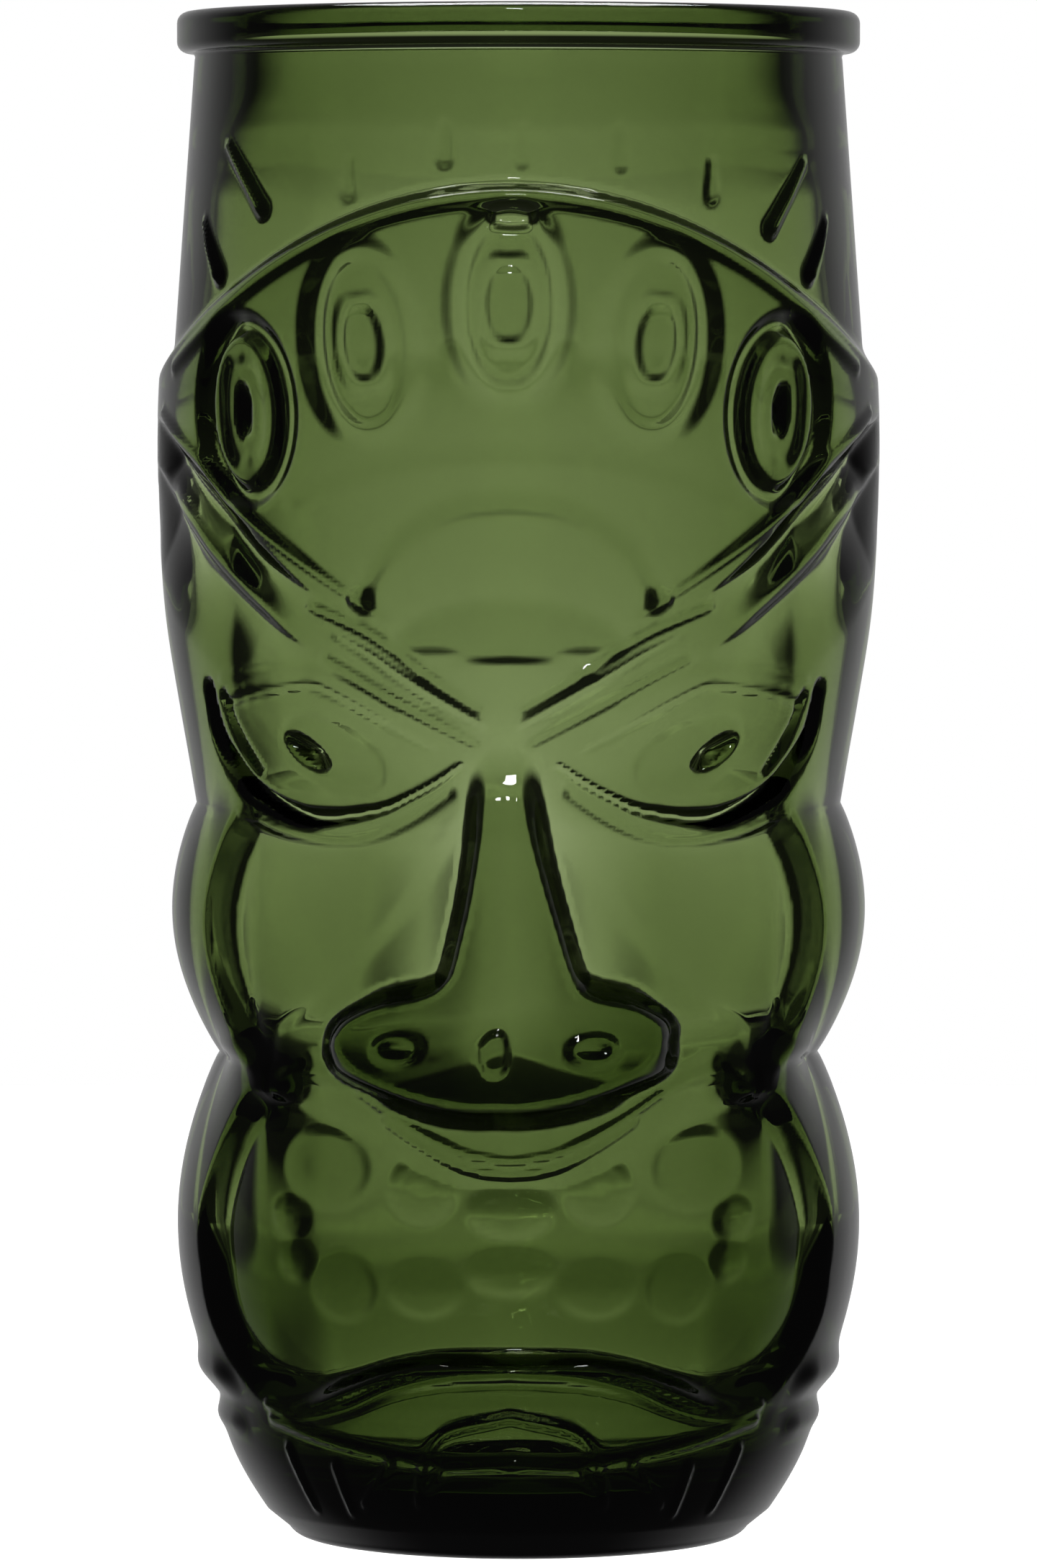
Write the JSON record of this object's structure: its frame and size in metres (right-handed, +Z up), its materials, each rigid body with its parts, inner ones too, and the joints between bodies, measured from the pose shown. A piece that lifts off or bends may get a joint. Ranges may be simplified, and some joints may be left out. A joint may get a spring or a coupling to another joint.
{
  "type": "tiki face drinking glass",
  "caption": "Tall pressed green glass tumbler with a rimmed lip and a carved totem face: jewelled headband, slanted brows, long nose and open toothed mouth.",
  "frame": {"origin": "centre of the resting plane under the foot", "axes": "+Z up the tumbler's axis to the lip; the carved face looks along -Y; +X is on the right when the face is looked at"},
  "size_m": [0.0786, 0.0785, 0.165],
  "materials": {
    "green_glass": "fire-polished transparent olive green glass"
  },
  "bodies": {
    "root": {"rim_bead": "green_glass", "crown_wall": "green_glass", "brow_wall": "green_glass", "cheek_wall": "green_glass", "jaw_wall": "green_glass", "base_slug": "green_glass", "headband_plate": "green_glass", "jewel_centre": "green_glass", "jewel_inner_left": "green_glass", "jewel_inner_right": "green_glass", "jewel_outer_left": "green_glass", "jewel_outer_right": "green_glass", "forehead_wrinkles": "green_glass", "brow_band_left": "green_glass", "brow_band_right": "green_glass", "eye_left": "green_glass", "eye_right": "green_glass", "nose": "green_glass", "upper_teeth": "green_glass", "lower_teeth": "green_glass", "chin": "green_glass", "neck_rolls": "green_glass", "crown_drops": "green_glass"}
  },
  "joints": []
}
